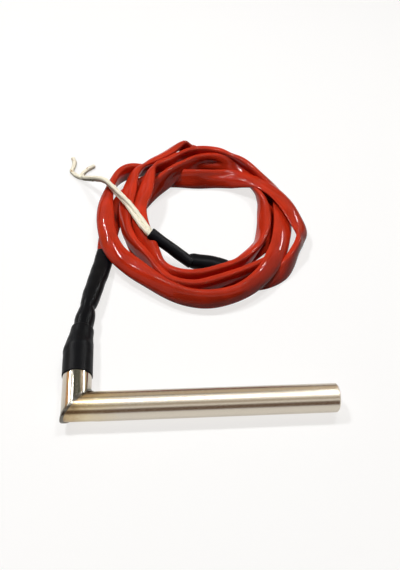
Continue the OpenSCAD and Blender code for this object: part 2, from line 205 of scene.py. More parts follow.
# Lamps for the flat colours: the name, the place from their aim in m, the size in m and the power in W
LAMPS = [
    ("broad_lamp", -0.10, 0.20, 1.00, 0.60, 0.5),
    ("lamp_1", -0.40, 0.22, 0.90, 0.09, 6.0),
    ("lamp_2", 0.22, 0.26, 0.95, 0.10, 3.2),
    ("lamp_3", 0.05, -0.80, 0.55, 0.09, 0.16),
    ("lamp_4", -0.55, -0.35, 0.75, 0.07, 0.1),
    ("lamp_5", 0.50, -0.30, 0.80, 0.07, 0.1),
]

# Thin strips for streaks in the gloss: the name, the place from their aim in m, the length and width in m and
# the power in W
STRIPS = [
    ("strip_1", 0.00, -0.05, 1.00, 1.4, 0.02, 9.0),
    ("strip_2", -0.60, 0.30, 0.80, 0.4, 0.02, 4.0),
    ("strip_3", 0.60, 0.30, 0.80, 0.4, 0.02, 3.5),
    ("strip_4", -0.75, 0.65, 0.55, 0.4, 0.02, 3.0),
    ("strip_5", 0.75, 0.65, 0.55, 0.4, 0.02, 2.5),
]

# Cards for the steel to mirror, a metre off: the name, the shift sideways in m, the angle from overhead
# towards the camera in degrees, the width and height in m, and the colour
CARDS = [
    ("back_brown", 0.1, -84, 2.4, 0.30, (0.16, 0.10, 0.07)),
    ("back_tan", 0.1, -54, 1.1, 0.70, (0.62, 0.50, 0.36)),
    ("white_behind", 0.1, -5, 2.0, 1.05, (0.92, 0.89, 0.83)),
    ("overhead", 0.1, 33, 2.0, 0.27, (0.48, 0.41, 0.32)),
    ("white_before", 0.1, 49, 2.0, 0.26, (1.0, 0.97, 0.92)),
    ("front_brown", 0.1, 78, 2.4, 0.80, (0.15, 0.095, 0.065)),
    ("left_white", -0.75, -41, 0.45, 0.60, (1.0, 0.97, 0.93)),
    ("left_brown", -1.3, -60, 0.6, 0.80, (0.80, 0.48, 0.24)),
    ("right_yellow", 1.2, -62, 0.5, 0.50, (0.95, 0.85, 0.60)),
    ("back_dark", 0.1, -37, 1.4, 0.16, (0.13, 0.14, 0.11)),
]


class HeaterSizes(bpy.types.PropertyGroup):
    """Sizes of the soft pieces"""
    sleeve_width: bpy.props.FloatProperty(
        name="Sleeve width", description="Width of the red sleeve where it lies flat", default=0.0124,
        unit="LENGTH")
    sleeve_thickness: bpy.props.FloatProperty(
        name="Sleeve thickness", description="Thickness of the red sleeve where it lies flat", default=0.0056,
        unit="LENGTH")
    sleeve_round: bpy.props.FloatProperty(
        name="Sleeve diameter", description="Diameter of the red sleeve where it is round", default=0.0082,
        unit="LENGTH")
    sleeve_length: bpy.props.FloatProperty(
        name="Sleeve length", description="Length of the red sleeve from the neck to its far end",
        default=1.85, unit="LENGTH")
    lead_diameter: bpy.props.FloatProperty(
        name="Lead diameter", description="Diameter of a lead wire over its braid", default=0.0032,
        unit="LENGTH")


class HeaterColours(bpy.types.PropertyGroup):
    """Colours of the finishes"""
    steel: bpy.props.FloatVectorProperty(
        name="Steel", description="Colour of the sheath", subtype="COLOR", default=(0.64, 0.58, 0.49))
    sleeve: bpy.props.FloatVectorProperty(
        name="Sleeve", description="Colour of the red sleeve", subtype="COLOR", default=(0.56, 0.031, 0.009))
    shrink: bpy.props.FloatVectorProperty(
        name="Shrink tube", description="Colour of the shrink tubes", subtype="COLOR",
        default=(0.004, 0.0045, 0.006))
    braid: bpy.props.FloatVectorProperty(
        name="Braid", description="Colour of the glass braid", subtype="COLOR", default=(0.97, 0.90, 0.71))
    floor: bpy.props.FloatVectorProperty(
        name="Floor", description="Colour of the floor", subtype="COLOR", default=(0.90, 0.92, 0.93))


def sizes():
    """The sizes set in the scene."""
    return bpy.context.scene.heater_sizes


def colours():
    """The colours set in the scene."""
    return bpy.context.scene.heater_colours


def on_table(points):
    """Points given in mm from the crossing of the axes, as metres in the part's frame."""
    return CORNER + np.asarray(points, float) * MM


def eased(knots, values, at):
    """A smooth line through the knots: between two of them a Hermite cubic whose end slopes are the
    differences of the neighbours."""
    knots = np.asarray(knots, float)
    values = np.asarray(values, float)
    slope = np.gradient(values, knots)
    i = np.clip(np.searchsorted(knots, at) - 1, 0, len(knots) - 2)
    h = knots[i + 1] - knots[i]
    t = np.clip((at - knots[i]) / h, 0, 1)
    rise = t * t * (3 - 2 * t)
    return (values[i] * (1 - rise) + values[i + 1] * rise
            + h * t * (1 - t) * ((1 - t) * slope[i] - t * slope[i + 1]))


def run_lengths(points):
    """Distance along a line at each of its points."""
    return np.concatenate(([0.0], np.cumsum(np.linalg.norm(np.diff(points, axis=0), axis=1))))


def even(points, step, extra=()):
    """The same line, and values that go with it, at points an even step apart along its length."""
    length = run_lengths(points)
    at = np.linspace(0, length[-1], int(round(length[-1] / step)) + 1)
    line = np.stack([np.interp(at, length, points[:, k]) for k in range(3)], 1)
    return [line, at] + [np.interp(at, length, v) for v in extra]


def curve_through(points, step):
    """A smooth curve through given points: each coordinate is an eased line over the run of chords."""
    points = np.asarray(points, float)
    run = run_lengths(points)
    at = np.linspace(0, run[-1], int(round(run[-1] / step)) + 1)
    return np.stack([eased(run, points[:, k], at) for k in range(3)], 1)


def level_frames(line):
    """At each point of a line its direction, the level direction to its left and the third direction up."""
    ahead = np.gradient(line, axis=0)
    ahead /= np.linalg.norm(ahead, axis=1)[:, None]
    left = np.cross(UP, ahead)
    left /= np.linalg.norm(left, axis=1)[:, None]
    return ahead, left, np.cross(ahead, left)


def around(sides):
    """Angles of a ring's sides, evenly spread over a full turn."""
    return np.linspace(0, FULL_TURN, sides, endpoint=False)


def oval_rings(line, across, over, half_width, half_height, sides, edge=1.0):
    """An oval carried along a line: half_width times the cosine across, and half_height times the sine,
    raised to the power edge, over. An edge above 1 pinches the oval's two ends, below 1 it squares them."""
    turn = around(sides)
    sine = np.sin(turn)
    rise = np.sign(sine) * np.abs(sine) ** np.broadcast_to(edge, len(line))[:, None]
    return (line[:, None, :]
            + (half_width[:, None] * np.cos(turn))[:, :, None] * across[:, None, :]
            + (half_height[:, None] * rise)[:, :, None] * over[:, None, :])


def waves(a, b, terms):
    """A sum of sines of two parameters: each term is an amplitude, two rates and a phase."""
    return sum(amp * np.sin(ra * a + rb * b + phase) for amp, ra, rb, phase in terms)


def pushed_out(rings, line, amount):
    """Rings moved away from their line's points by an amount at each vertex."""
    out = rings - line[:, None, :]
    out /= np.maximum(np.linalg.norm(out, axis=2, keepdims=True), 1e-9)
    return rings + out * amount[:, :, None]


def ring_mesh(name, rings, run, closed=False):
    """A surface from an array of rings: four-sided faces join each ring to the next. Where closed, the last
    ring joins the first, and otherwise a cap closes each end. The UV map holds the run in metres and the
    turn."""
    rows, sides = rings.shape[:2]
    i = np.arange(rows if closed else rows - 1)[:, None]
    j = np.arange(sides)[None, :]
    near, far = (i % rows) * sides, ((i + 1) % rows) * sides
    quads = np.stack([near + j, near + (j + 1) % sides, far + (j + 1) % sides, far + j], 2).reshape(-1, 4)
    faces = quads.tolist()
    if not closed:
        faces.append(list(range(sides))[::-1])
        faces.append(list(range((rows - 1) * sides, rows * sides)))
    mesh = bpy.data.meshes.new(name)
    mesh.from_pydata(rings.reshape(-1, 3).tolist(), [], faces)
    smooth = np.ones(len(faces), bool)
    smooth[len(quads):] = False
    mesh.polygons.foreach_set("use_smooth", smooth)
    uv = np.zeros((len(mesh.loops), 2))
    run_next = np.append(run[1:], run[-1])
    u0 = np.broadcast_to(run[i % rows], (len(i), sides))
    u1 = np.broadcast_to(run_next[i % rows], (len(i), sides))
    v0 = np.broadcast_to(j / sides, u0.shape)
    v1 = v0 + 1 / sides
    corners = np.stack([np.stack(c, 2) for c in ((u0, v0), (u0, v1), (u1, v1), (u1, v0))], 2)
    uv[:quads.size] = corners.reshape(-1, 2)
    mesh.uv_layers.new(name="Run and turn").data.foreach_set("uv", uv.ravel())
    mesh.update()
    piece = bpy.data.objects.new(name, mesh)
    bpy.context.scene.collection.objects.link(piece)
    return piece


def finish_piece(piece, finish, slot, *nodes):
    """Gives a piece its finish, sets it on the part's body and lets it stand for its solids."""
    piece.data.materials.append(finish)
    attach(piece, "root")
    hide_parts(*nodes)


def shell_rings(stations, wide, high, wall):
    """A thin shell as one closed loop of stations: out along the outer face, round a rolled rim and back
    along the inner face, one wall further in. Gives the loop's stations and half sizes."""
    stations, wide, high = (np.asarray(v, float) for v in (stations, wide, high))
    rolled = np.zeros(len(stations))
    rolled[[0, -1]] = 0.35 * wall
    back = slice(None, None, -1)
    loop = np.concatenate((stations, stations[back]))
    half_width = np.concatenate((wide - rolled, (wide - wall + rolled)[back]))
    half_height = np.concatenate((high - rolled, (high - wall + rolled)[back]))
    return loop, half_width, half_height


def new_finish(name, colour, roughness, metallic=0.0, **sockets):
    """A material with one Principled shader, its constants set on the shader's own sockets."""
    finish = bpy.data.materials.new(name)
    finish.use_nodes = True
    shader = finish.node_tree.nodes["Principled BSDF"]
    shader.inputs["Base Color"].default_value = (*colour, 1.0)
    shader.inputs["Roughness"].default_value = roughness
    shader.inputs["Metallic"].default_value = metallic
    for socket, value in sockets.items():
        shader.inputs[socket.replace("_", " ").title().replace("Ior", "IOR")].default_value = value
    return finish


def node(finish, kind, **values):
    """A new node in a material; a value named after an input sets it, any other is a setting."""
    made = finish.node_tree.nodes.new(kind)
    for key, value in values.items():
        socket = key.replace("_", " ").title()
        if socket in made.inputs:
            made.inputs[socket].default_value = value
        else:
            setattr(made, key, value)
    return made


def link(finish, source, target):
    """Joins an output socket to an input socket."""
    finish.node_tree.links.new(source, target)


def shader_of(finish):
    """The Principled shader of a material."""
    return finish.node_tree.nodes["Principled BSDF"]


def placed_coordinates(finish, output, scale, turn=(0.0, 0.0, 0.0), centre=(0.0, 0.0, 0.0)):
    """Object or UV coordinates moved to a centre, turned and scaled by a Mapping node."""
    where = node(finish, "ShaderNodeTexCoord")
    mapping = node(finish, "ShaderNodeMapping")
    mapping.inputs["Location"].default_value = tuple(-c * s for c, s in zip(centre, scale))
    mapping.inputs["Rotation"].default_value = turn
    mapping.inputs["Scale"].default_value = scale
    link(finish, where.outputs[output], mapping.inputs["Vector"])
    return mapping.outputs["Vector"]


def noise(finish, vector, scale, detail=2.0, roughness=0.5):
    """The factor of a noise texture at a coordinate."""
    texture = node(finish, "ShaderNodeTexNoise", scale=scale, detail=detail, roughness=roughness)
    link(finish, vector, texture.inputs["Vector"])
    return texture.outputs["Fac"]


def ramp(finish, factor, stops):
    """A colour ramp with stops of place and colour."""
    made = node(finish, "ShaderNodeValToRGB")
    elements = made.color_ramp.elements
    for _ in stops[2:]:
        elements.new(0.5)
    for element, (place, colour) in zip(elements, stops):
        element.position = place
        element.color = (*colour, 1.0)
    link(finish, factor, made.inputs["Fac"])
    return made.outputs["Color"]


def bump(finish, height, strength, distance):
    """Bumps a material by a height."""
    made = node(finish, "ShaderNodeBump", strength=strength, distance=distance)
    link(finish, height, made.inputs["Height"])
    link(finish, made.outputs["Normal"], shader_of(finish).inputs["Normal"])


def shade(colour, factor):
    """A colour times a factor."""
    return tuple(float(c) * factor for c in colour)


def red_silicone():
    """Glossy red silicone on glass cloth: slightly uneven red under a clear coat, with faint cloth bumps."""
    red = tuple(colours().sleeve)
    finish = new_finish("red_silicone", red, 0.5, specular_ior_level=0.0, coat_weight=0.5,
                        coat_roughness=0.07, coat_ior=1.4)
    patches = noise(finish, placed_coordinates(finish, "Object", (1, 1, 1)), 55.0, 4.0)
    tint = ramp(finish, patches, [(0.3, shade(red, 0.8)), (0.7, shade(red, 1.12))])
    link(finish, tint, shader_of(finish).inputs["Base Color"])
    cloth = noise(finish, placed_coordinates(finish, "Object", (1, 1, 1)), 190.0, 4.0)
    bump(finish, cloth, 0.3, 0.001)
    return finish


def black_shrink(name, roughness):
    """Black polyolefin shrink tube with a faintly uneven satin face."""
    finish = new_finish(name, tuple(colours().shrink), roughness, specular_ior_level=0.06)
    grain = noise(finish, placed_coordinates(finish, "Object", (1, 1, 1)), 260.0, 3.0)
    bump(finish, grain, 0.15, 0.0008)
    return finish


def glass_braid():
    """Cream glass braid: the product of two sines that cross along the run and the turn, and brown flecks."""
    cream = tuple(colours().braid)
    finish = new_finish("glass_braid", cream, 0.75)
    where = placed_coordinates(finish, "UV", (1.0, 1.0, 1.0))
    crossing = node(finish, "ShaderNodeMath", operation="MULTIPLY")
    for side, lay in enumerate((BRAID_LAY, -BRAID_LAY)):
        along = node(finish, "ShaderNodeVectorMath", operation="DOT_PRODUCT")
        along.inputs[1].default_value = (FULL_TURN * BRAID_RATE, FULL_TURN * lay, 0.0)
        strand = node(finish, "ShaderNodeMath", operation="SINE")
        link(finish, where, along.inputs[0])
        link(finish, along.outputs["Value"], strand.inputs[0])
        link(finish, strand.outputs["Value"], crossing.inputs[side])
    bump(finish, crossing.outputs["Value"], 0.3, 0.0003)
    flecks = noise(finish, placed_coordinates(finish, "UV", (150.0, 3.0, 1.0)), 1.0, 3.0)
    tint = ramp(finish, flecks, [(0.30, (0.50, 0.30, 0.13)), (0.36, cream)])
    link(finish, tint, shader_of(finish).inputs["Base Color"])
    return finish


def ground_steel(name, roughness, heat):
    """Ground steel with fine rings round the tube. Where heat is a side of the mitre, 1 for the sheath's and
    -1 for the elbow's, a brown to straw tint fades with the distance from the weld, made uneven by noise."""
    steel = tuple(colours().steel)
    finish = new_finish(name, steel, roughness, 1.0)
    grain = (2600.0, 40.0, 40.0) if heat >= 0 else (40.0, 2600.0, 40.0)
    rings = noise(finish, placed_coordinates(finish, "Object", grain), 1.0, 3.0, 0.7)
    bump(finish, rings, 0.16 if heat >= 0 else 0.04, 0.0004)
    if heat:
        where = node(finish, "ShaderNodeTexCoord")
        away = node(finish, "ShaderNodeVectorMath", operation="DOT_PRODUCT")
        across = np.array([1.0, -1.0, 0.0]) * heat / math.sqrt(2)
        away.inputs[1].default_value = tuple(across / HEAT_REACH)
        link(finish, where.outputs["Object"], away.inputs[0])
        uneven = noise(finish, placed_coordinates(finish, "Object", (1, 1, 1)), 260.0, 3.0)
        distance = node(finish, "ShaderNodeMath", operation="MULTIPLY_ADD")
        distance.inputs[1].default_value = HEAT_UNEVEN
        distance.inputs[2].default_value = -float(CORNER @ across) / HEAT_REACH - HEAT_UNEVEN / 2
        link(finish, uneven, distance.inputs[0])
        total = node(finish, "ShaderNodeMath", operation="ADD")
        link(finish, distance.outputs["Value"], total.inputs[0])
        link(finish, away.outputs["Value"], total.inputs[1])
        tints = [(0.0, (0.34, 0.25, 0.16)), (0.12, (0.52, 0.40, 0.23)), (0.3, (0.66, 0.56, 0.38)),
                 (0.75, steel)]
        if heat < 0:
            tints = [(0.0, (0.30, 0.27, 0.20)), (0.1, shade(steel, 0.8)), (0.2, shade(steel, 0.9))]
        link(finish, ramp(finish, total.outputs["Value"], tints), shader_of(finish).inputs["Base Color"])
    return finish


def lead_frames(stations):
    """Points on the axis of the elbow's mouth and of the lead, which tilts to one side, with the ahead, left
    and up directions there. Stations are in mm from the mouth, below 0 on the elbow."""
    stations = np.asarray(stations, float)
    ease = np.clip((stations + 2) / 10, 0, 1)
    angle = LEAD_TILT * ease * ease * (3 - 2 * ease)
    straight = np.where(stations[:, None] < 0, np.array([0.0, 1.0, 0.0]), LEAD_DIR)
    line = LEAD_ORIGIN + stations[:, None] * MM * straight
    ahead = np.stack([np.sin(angle), np.cos(angle), np.zeros_like(angle)], 1)
    left = np.cross(UP, ahead)
    return line, ahead, left, np.cross(ahead, left)


def lead_shift(stations):
    """How far to the left of the lead axis the sleeve and the shrink tubes lie, in metres."""
    return MM * eased([0, 9, 17, 26, 34, 56, 71, 87], [0, 0.5, 0.9, 1.2, 1.3, 0.7, 0.2, 0], stations)


def lead_drop(stations):
    """How far below the lead axis the sleeve and its shrink tube lie, to pass under the coil, in metres."""
    return MM * eased([9, 26, 50, 70, 87], [0, 0, 1.2, 3.4, 4.9], stations)


def running_angles():
    """The angle that each row of the turns has run to since the start, in degrees, and each turn's first."""
    running, starts = [], []
    for turn in TURNS:
        starts.append(len(running))
        for row in turn:
            ahead = 0 if not running else (-row[0] - running[-1]) % 360
            running.append(running[-1] + ahead if running else -row[0])
    return np.array(running, float), [running[first] for first in starts]


def bells(at, places):
    """For each place, given by its turn, clock angle and spread, a bell round it along the running angles."""
    starts = running_angles()[1]
    return [np.exp(-((at - starts[turn] - (-clock - starts[turn]) % 360) / spread) ** 2)
            for turn, clock, spread in places]


def sleeve_line():
    """The red sleeve's middle line: straight out of the neck, round the coil's turns and into the end shrink,
    with its lean, its flatness and the running angle at every point."""
    running = running_angles()[0]
    at = np.arange(running[0], running[-1], 2.0)
    columns = list(zip(*(row[1:] for turn in TURNS for row in turn)))
    reach, height, lean, flat = (eased(running, column, at) for column in columns)
    turn = np.radians(-at)
    coil = on_table(np.stack([COIL_CENTRE[0] + reach * np.cos(turn), COIL_CENTRE[1] + reach * np.sin(turn),
                              height], 1))
    stations = np.linspace(SLEEVE_FROM, UPPER_END - 3, 30)
    start = LEAD_ORIGIN + stations[:, None] * MM * LEAD_DIR
    start += lead_shift(stations)[:, None] * np.cross(UP, LEAD_DIR) - lead_drop(stations)[:, None] * UP
    end = curve_through(np.concatenate((coil[-1:], on_table(SLEEVE_END_ROUTE))), 0.002)[1:]
    line = np.concatenate((start, coil, end))
    lean = np.concatenate((np.full(len(start), lean[0]), lean, np.full(len(end), lean[-1])))
    flat = np.concatenate((np.linspace(0, flat[0], len(start)), flat, np.linspace(flat[-1], 0, len(end))))
    at = np.concatenate((np.linspace(at[0] - 90, at[0] - 2, len(start)), at,
                         np.linspace(at[-1] + 2, at[-1] + 60, len(end))))
    return line, lean, flat, at


def soft_blur(values, reach):
    """Values averaged along their first axis with a bell of that many points, their ends kept in place."""
    bell = np.exp(-0.5 * (np.arange(-3 * reach, 3 * reach + 1) / reach) ** 2)
    bell /= bell.sum()
    flat = values.reshape(len(values), -1)
    pad = len(bell) // 2
    longer = np.concatenate((2 * flat[:1] - flat[pad:0:-1], flat, 2 * flat[-1:] - flat[-2:-pad - 2:-1]))
    return np.stack([np.convolve(column, bell, "valid") for column in longer.T], 1).reshape(values.shape)


class HEATER_OT_red_sleeve(bpy.types.Operator):
    """Carries a soft oval along the coil, flattened, leaning and dented as it lies"""
    bl_idname = "heater.red_sleeve"
    bl_label = "Red sleeve"

    def execute(self, context):
        size = sizes()
        line, lean, flat, at = sleeve_line()
        line, run, lean, flat, at = even(line, SLEEVE_STEP, (lean, flat, at))
        pinch = sum(p[2] * bell for p, bell in zip(PINCHES, bells(at, [(p[0], p[1], p[3]) for p in PINCHES])))
        line = soft_blur(line, 2)
        ahead, left, over = level_frames(line)
        lean = np.radians(soft_blur(lean, 3))
        flat = np.clip(soft_blur(flat, 4), 0, FLATTEST)
        across = np.cos(lean)[:, None] * left + np.sin(lean)[:, None] * over
        upright = np.cross(ahead, across)
        thin = 1 - THIN_SHARE * np.clip((THIN_END - run) / THIN_FADE, 0, 1)
        half_width = thin * (size.sleeve_round + (size.sleeve_width - size.sleeve_round) * flat) / 2
        half_height = thin * (size.sleeve_round + (size.sleeve_thickness - size.sleeve_round) * flat) / 2
        swell = waves(run, 0, [(0.6, 170, 0, 0.3), (0.6, 97, 0, 1.9), (0.3, 311, 0, 4.0)])
        spread = waves(run, 0, [(0.7, 121, 0, 2.2), (0.5, 233, 0, 0.8)])
        half_height *= 1 + 0.05 * flat * swell
        half_width *= 1 + 0.03 * flat * spread
        half_width *= 1 - 0.6 * pinch
        half_height *= 1 - pinch
        edge = 1.2 - 0.65 * flat * np.abs(np.sin(lean)) ** 3
        rings = oval_rings(line, across, upright, half_width, half_height, SLEEVE_SIDES, edge)
        turn = around(SLEEVE_SIDES)[None, :]
        bumps = flat[:, None] * waves(run[:, None], turn, [(0.10, 110, 2, 0.5), (0.08, 75, -3, 2.0)])
        for dent, bell in zip(DENTS, bells(at, [(d[0], d[1], d[4]) for d in DENTS])):
            off = (np.degrees(turn) - dent[2] + 180) % 360 - 180
            bumps = bumps - dent[3] * bell[:, None] * np.exp(-(off / dent[5]) ** 2)
        rings = pushed_out(rings, line, MM * bumps)
        rings[:, :, 2] = np.maximum(rings[:, :, 2], SLEEVE_LOWEST)
        piece = ring_mesh("red_sleeve", rings, run)
        finish_piece(piece, red_silicone(), "red_sleeve", "sleeve_start", "sleeve_coil", "sleeve_end")
        return {"FINISHED"}


class HEATER_OT_shrink_tubes(bpy.types.Operator):
    """Makes the shrink tubes at the lead exit as thin shells round the lead's axis"""
    bl_idname = "heater.shrink_tubes"
    bl_label = "Shrink tubes"

    def execute(self, context):
        self.lower()
        self.upper()
        return {"FINISHED"}

    def lower(self):
        """A shell that grips the elbow, steps in over a soft shoulder and ends in a rolled neck, its lower
        edge a little wavy."""
        stations = np.linspace(-SHRINK_COVER, NECK_END, 90)
        radius = MM * eased([-17, -3, 0, 3, 6, 9, 12, 16, 17],
                            [8.5, 8.5, 8.5, 8.35, 7.85, 7.35, 6.95, 6.7, 6.55], stations)
        loop, wide, high = shell_rings(stations, radius, radius, LOWER_WALL)
        line, ahead, left, over = lead_frames(loop)
        line = line + lead_shift(loop)[:, None] * left
        rings = oval_rings(line, left, over, wide, high, LOWER_SIDES)
        turn = around(LOWER_SIDES)[None, :]
        fold = np.exp(-((loop - 3) / 6) ** 2)[:, None]
        bumps = 0.10 * fold * waves(loop[:, None], turn, [(1, 0.5, 3, 0.4), (0.8, 0.9, -2, 2.1)])
        rings = pushed_out(rings, line, MM * bumps)
        low = np.exp(-((loop + SHRINK_COVER) / 4) ** 2)[:, None]
        wave = waves(turn, 0, [(0.45, 2, 0, 0.9), (0.3, 3, 0, 2.5), (0.2, 5, 0, 0.2)])
        rings += (MM * low * wave)[:, :, None] * ahead[:, None, :]
        rings[:, :, 2] = np.maximum(rings[:, :, 2], LOWER_LOWEST)
        piece = ring_mesh("lower_shrink_tube", rings, loop * MM, closed=True)
        finish_piece(piece, black_shrink("satin_shrink", 0.38), "shrink_tube", "lower_shrink")

    def upper(self):
        """A shell over the sleeve's first stretch: round in the neck, creased on one side, then flatter and
        wider where the sleeve flattens."""
        stations = np.linspace(UPPER_FROM, UPPER_END, 150)
        knots = [9, 17, 26, 31, 33.5, 36, 44, 56, 71, 87]
        wide = MM * eased(knots, [5.6, 5.6, 5.7, 5.1, 4.7, 5.0, 5.5, 5.8, 6.0, 6.2], stations)
        high = MM * eased(knots, [5.5, 5.5, 5.4, 5.1, 5.0, 5.0, 4.9, 4.6, 3.9, 3.3], stations)
        loop, wide, high = shell_rings(stations, wide, high, UPPER_WALL)
        line, ahead, left, over = lead_frames(loop)
        line = line + lead_shift(loop)[:, None] * left - lead_drop(loop)[:, None] * UP
        rings = oval_rings(line, left, over, wide, high, UPPER_SIDES)
        turn = around(UPPER_SIDES)[None, :]
        crease = np.exp(-((loop[:, None] - 33.5) / 1.8) ** 2) * np.exp(-((turn - math.pi) / 0.8) ** 2)
        bumps = -0.8 * crease + 0.08 * waves(loop[:, None], turn, [(1, 0.30, 2, 0.4), (0.7, 0.55, -1, 1.7)])
        rings = pushed_out(rings, line, MM * bumps * np.clip((loop[:, None] - 17) / 4, 0, 1))
        piece = ring_mesh("upper_shrink_tube", rings, loop * MM, closed=True)
        finish_piece(piece, black_shrink("smooth_shrink", 0.30), "shrink_tube", "upper_shrink")


class HEATER_OT_end_shrinks(bpy.types.Operator):
    """Makes the two shrink tubes at the sleeve's far end"""
    bl_idname = "heater.end_shrinks"
    bl_label = "End shrinks"

    def execute(self, context):
        finish = black_shrink("end_shrink", 0.36)
        self.tube("end_shrink_wide", LARGE_SHRINK, [0, 0.08, 0.75, 0.92, 1], [4.9, 5.2, 5.3, 4.9, 3.9],
                  [4.9, 5.2, 5.0, 4.2, 3.0], finish, "end_shrink_large")
        self.tube("end_shrink_thin", SMALL_SHRINK, [0, 0.2, 0.6, 1], [3.9, 3.9, 3.85, 3.9],
                  [3.7, 3.8, 3.8, 3.8], finish, "end_shrink_small")
        return {"FINISHED"}

    def tube(self, name, ends, places, wide, high, finish, solid):
        """A shell between two points whose half sizes are eased along its length."""
        line_ends = on_table(ends)
        span = line_ends[1] - line_ends[0]
        stations = np.linspace(0, 1, 40)
        wide = MM * eased(places, wide, stations)
        high = MM * eased(places, high, stations)
        loop, wide, high = shell_rings(stations, wide, high, END_WALL)
        line = line_ends[0] + loop[:, None] * span
        ahead = np.broadcast_to(span / np.linalg.norm(span), line.shape)
        left = np.cross(UP, ahead)
        left /= np.linalg.norm(left, axis=1)[:, None]
        rings = oval_rings(line, left, np.cross(ahead, left), wide, high, END_SIDES)
        turn = around(END_SIDES)[None, :]
        bumps = 0.07 * waves(loop[:, None], turn, [(1, 9, 2, 0.4), (0.7, 14, -3, 1.7)])
        rings = pushed_out(rings, line, MM * bumps)
        rings[:, :, 2] = np.maximum(rings[:, :, 2], END_LOWEST)
        piece = ring_mesh(name, rings, loop * np.linalg.norm(span), closed=True)
        finish_piece(piece, finish, "shrink_tube", solid)


class HEATER_OT_lead_wires(bpy.types.Operator):
    """Carries a round braid along each lead's route"""
    bl_idname = "heater.lead_wires"
    bl_label = "Lead wires"

    def execute(self, context):
        radius = sizes().lead_diameter / 2
        finish = glass_braid()
        for count, route in enumerate(LEAD_ROUTES, 1):
            line, run = even(curve_through(on_table(route), 0.0006), WIRE_STEP)
            ahead, left, over = level_frames(line)
            half = radius * (1 + 0.05 * waves(run, 0, [(1, 700, 0, 0.4 + count), (0.8, 1130, 0, 2.0)]))
            taper = np.clip((run[-1] - run) / (0.6 * MM), 0.45, 1)
            rings = oval_rings(line, left, over, half * taper, half * taper, WIRE_SIDES)
            piece = ring_mesh(f"lead_wire_{count}", rings, run)
            finish_piece(piece, finish, "glass_braid", f"lead_tail_{count}")
        return {"FINISHED"}


class HEATER_OT_steel(bpy.types.Operator):
    """Gives the sheath, elbow, weld and end disc their steel finishes"""
    bl_idname = "heater.steel"
    bl_label = "Steel"

    def execute(self, context):
        finishes = {
            "sheath": ground_steel("ground_steel", 0.24, 1),
            "end_disc": ground_steel("end_steel", 0.35, 0),
            "elbow_tube": ground_steel("polished_steel", 0.10, -1),
            "mitre_weld": new_finish("weld_bead", (0.17, 0.16, 0.14), 0.24, 1.0),
        }
        for name, finish in finishes.items():
            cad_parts[name].data.materials[0] = finish
        return {"FINISHED"}


class HEATER_OT_inside(bpy.types.Operator):
    """Gives the pieces inside the sheath their finishes"""
    bl_idname = "heater.inside"
    bl_label = "Inside"

    def execute(self, context):
        magnesia = new_finish("magnesia", (0.82, 0.80, 0.74), 0.9)
        ceramic = new_finish("ceramic_disc", (0.80, 0.75, 0.64), 0.6)
        wire = new_finish("resistance_wire", (0.40, 0.37, 0.33), 0.4, 1.0)
        pin = new_finish("pin_metal", (0.55, 0.53, 0.50), 0.3, 1.0)
        ferrule = new_finish("ferrule_metal", (0.68, 0.69, 0.68), 0.3, 1.0)
        sleeve = new_finish("glass_sleeve", (0.85, 0.78, 0.58), 0.8)
        potting = new_finish("potting", (0.70, 0.66, 0.56), 0.7)
        finishes = {
            "core": magnesia, "insulation_fill": magnesia, "end_spacer": magnesia, "lead_plug": ceramic,
            "winding": wire, "pin_1": pin, "pin_2": pin, "splice_1": ferrule, "splice_2": ferrule,
            "splice_sleeve_1": sleeve, "splice_sleeve_2": sleeve, "lead_root_1": sleeve,
            "lead_root_2": sleeve, "mouth_seal": potting,
        }
        for name, finish in finishes.items():
            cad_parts[name].data.materials[0] = finish
        return {"FINISHED"}


